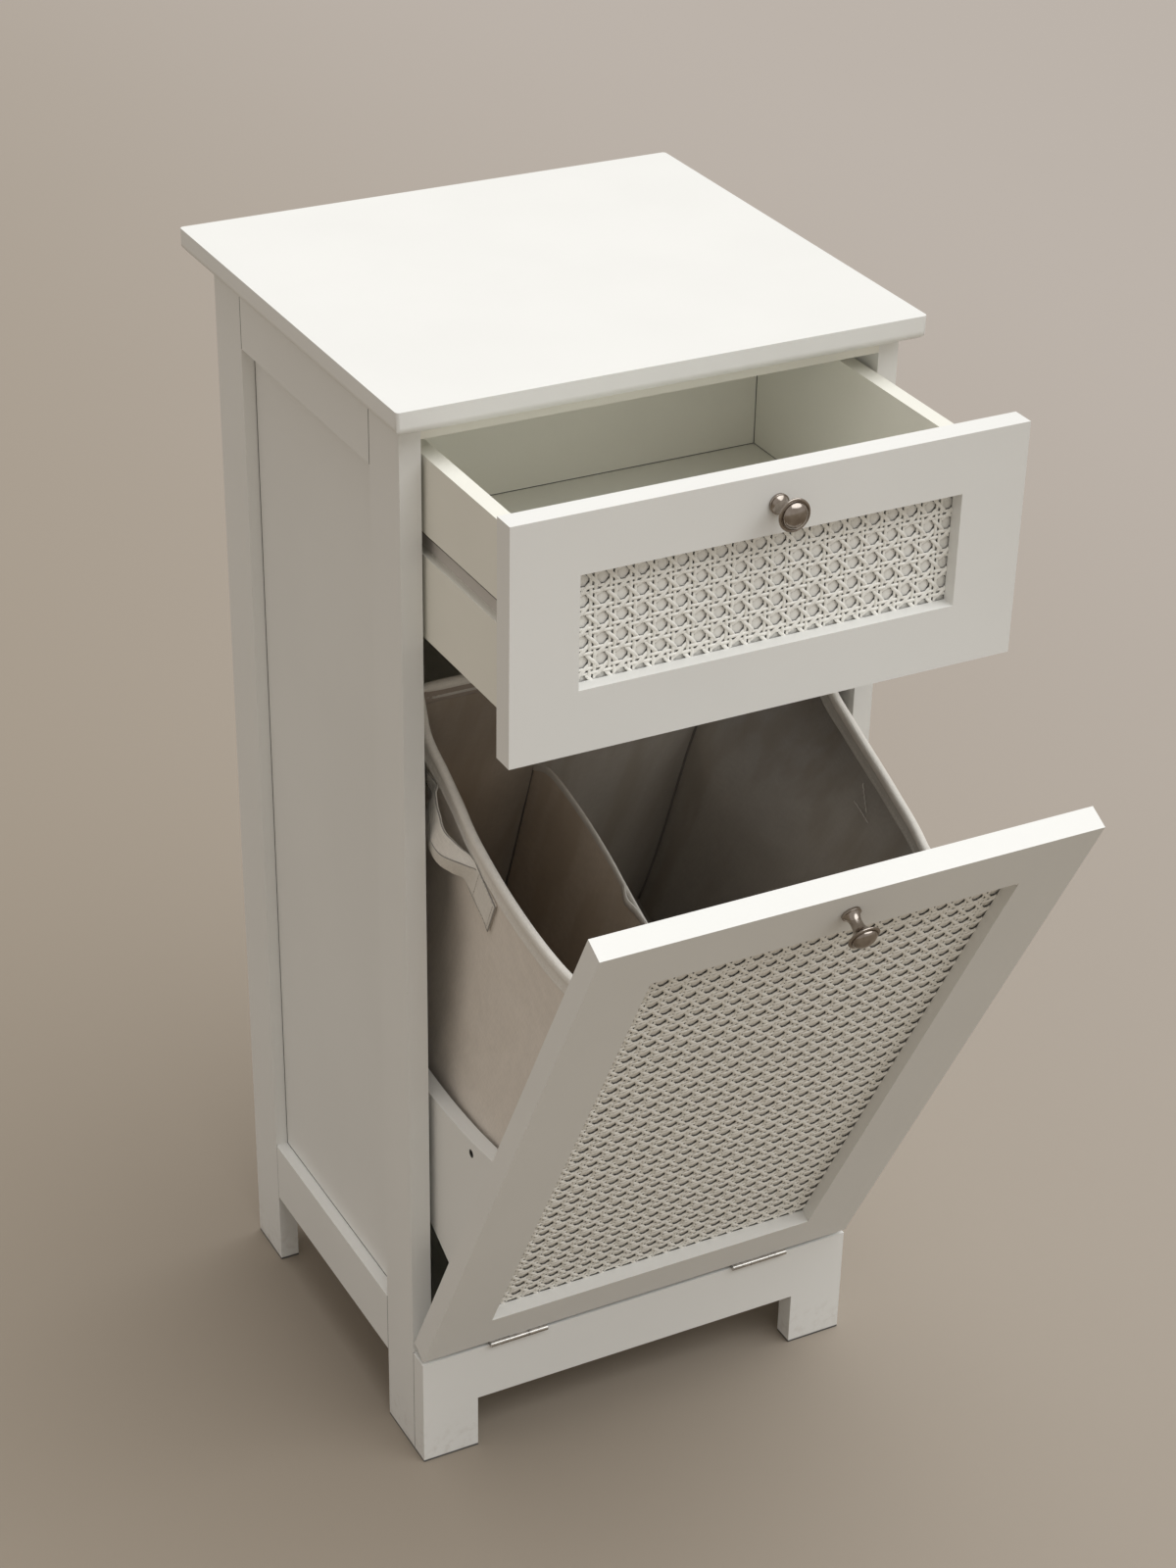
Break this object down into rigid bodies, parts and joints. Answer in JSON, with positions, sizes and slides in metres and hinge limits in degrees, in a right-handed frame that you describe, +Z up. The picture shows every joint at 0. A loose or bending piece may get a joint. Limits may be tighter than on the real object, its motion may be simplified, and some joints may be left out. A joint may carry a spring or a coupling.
{
  "type": "tilt-out laundry cabinet",
  "caption": "Narrow white cabinet with a cane-fronted drawer over a bottom-hinged tilt-out door that carries a divided cloth laundry bag on a tray.",
  "frame": {"origin": "on the floor under the middle of the opened cabinet, 28 mm behind the posts' front plane", "axes": "+Z up, -Y out of the front, +X to the right of someone who faces the front"},
  "size_m": [0.406, 0.6691, 0.9],
  "materials": {
    "white_paint": "smooth satin white paint",
    "inside_paint": "thin satin white paint",
    "hardboard": "matt painted hardboard",
    "cane": "white painted cane webbing",
    "knob_nickel": "brushed dark nickel",
    "steel": "bright zinc plate",
    "bag_cloth": "grey-brown plain weave",
    "bag_trim": "paler woven tape",
    "beech": "bare beech"
  },
  "bodies": {
    "cabinet": {"top_board": "white_paint", "left_front_post": "white_paint", "left_back_post": "white_paint", "left_top_rail": "white_paint", "left_bottom_rail": "white_paint", "left_side_panel": "white_paint", "right_front_post": "white_paint", "right_back_post": "white_paint", "right_top_rail": "white_paint", "right_bottom_rail": "white_paint", "right_side_panel": "white_paint", "base_board": "white_paint", "back_panel": "hardboard", "front_stretcher": "inside_paint", "back_stretcher": "inside_paint", "bottom_board": "inside_paint", "left_drawer_runner": "inside_paint", "right_drawer_runner": "inside_paint", "left_stop_rail": "inside_paint", "right_stop_rail": "inside_paint", "left_hinge_base_leaf": "steel", "left_hinge_pin": "steel", "right_hinge_base_leaf": "steel", "right_hinge_pin": "steel", "hinge_base_screws": "steel", "carcass_dowels": "beech", "top_screws": "steel", "rail_screws": "steel", "back_panel_pins": "steel"},
    "drawer": {"drawer_front": "white_paint", "drawer_cane": "cane", "drawer_cane_backing": "hardboard", "drawer_left_side": "inside_paint", "drawer_right_side": "inside_paint", "drawer_back": "inside_paint", "drawer_bottom": "inside_paint", "drawer_knob": "knob_nickel", "drawer_knob_screw": "steel", "drawer_dowels": "beech", "drawer_screws": "steel"},
    "door": {"door_frame": "white_paint", "door_cane": "cane", "door_cane_backing": "hardboard", "door_knob": "knob_nickel", "door_knob_screw": "steel", "left_hinge_door_leaf": "steel", "right_hinge_door_leaf": "steel", "hinge_door_screws": "steel", "tray_left_cheek": "white_paint", "tray_right_cheek": "white_paint", "tray_floor": "inside_paint", "tray_back": "inside_paint", "tray_screws": "steel", "tray_dowels": "beech", "laundry_bag": "bag_cloth", "bag_divider": "bag_cloth", "bag_rim_binding": "bag_trim", "bag_left_handle": "bag_trim", "bag_right_handle": "bag_trim", "bag_fastening_strip": "bag_trim"}
  },
  "joints": [
    {"name": "drawer_slide", "type": "slide", "parent": "cabinet", "child": "drawer", "axis": [0, -1, 0], "range_m": [-0.146, 0.085]},
    {"name": "door_tilt", "type": "hinge", "parent": "cabinet", "child": "door", "pos_m": [0, -0.048, 0.1015], "axis": [1, 0, 0], "range_deg": [-27.3, 0]}
  ]
}
